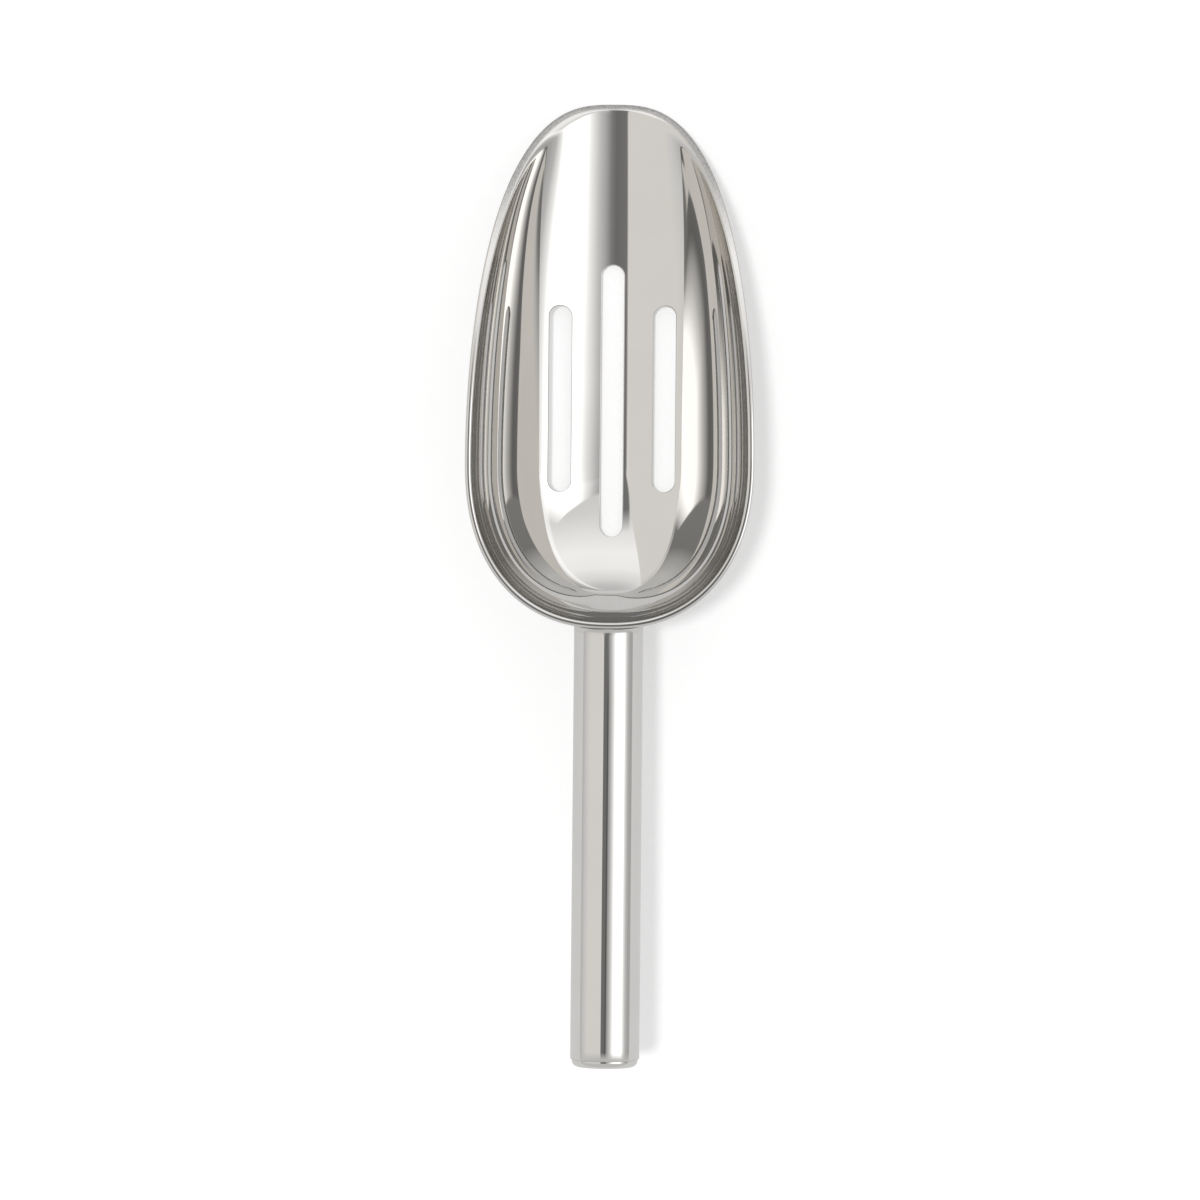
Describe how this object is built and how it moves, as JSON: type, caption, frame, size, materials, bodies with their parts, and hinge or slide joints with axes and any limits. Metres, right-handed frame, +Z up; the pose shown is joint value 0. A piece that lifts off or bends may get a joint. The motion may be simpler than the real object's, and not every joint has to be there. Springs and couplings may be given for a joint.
{
  "type": "ice scoop",
  "caption": "Slotted ice scoop: a deep oval steel bowl with long drain slots in its floor, on a straight hollow round handle.",
  "frame": {"origin": "under the middle of the whole scoop's box, on the surface that the keel lies on", "axes": "+Y from the handle's end towards the digging tip, +X across the bowl, +Z up out of the bowl's mouth"},
  "size_m": [0.079, 0.2686, 0.0414],
  "materials": {
    "bowl_steel": "polished",
    "handle_steel": "polished",
    "weld_steel": "satin"
  },
  "bodies": {
    "root": {"bowl": "bowl_steel", "handle_tube": "handle_steel", "root_weld": "weld_steel", "end_cap": "handle_steel", "cap_weld": "weld_steel", "vent_plug": "weld_steel"}
  },
  "joints": []
}
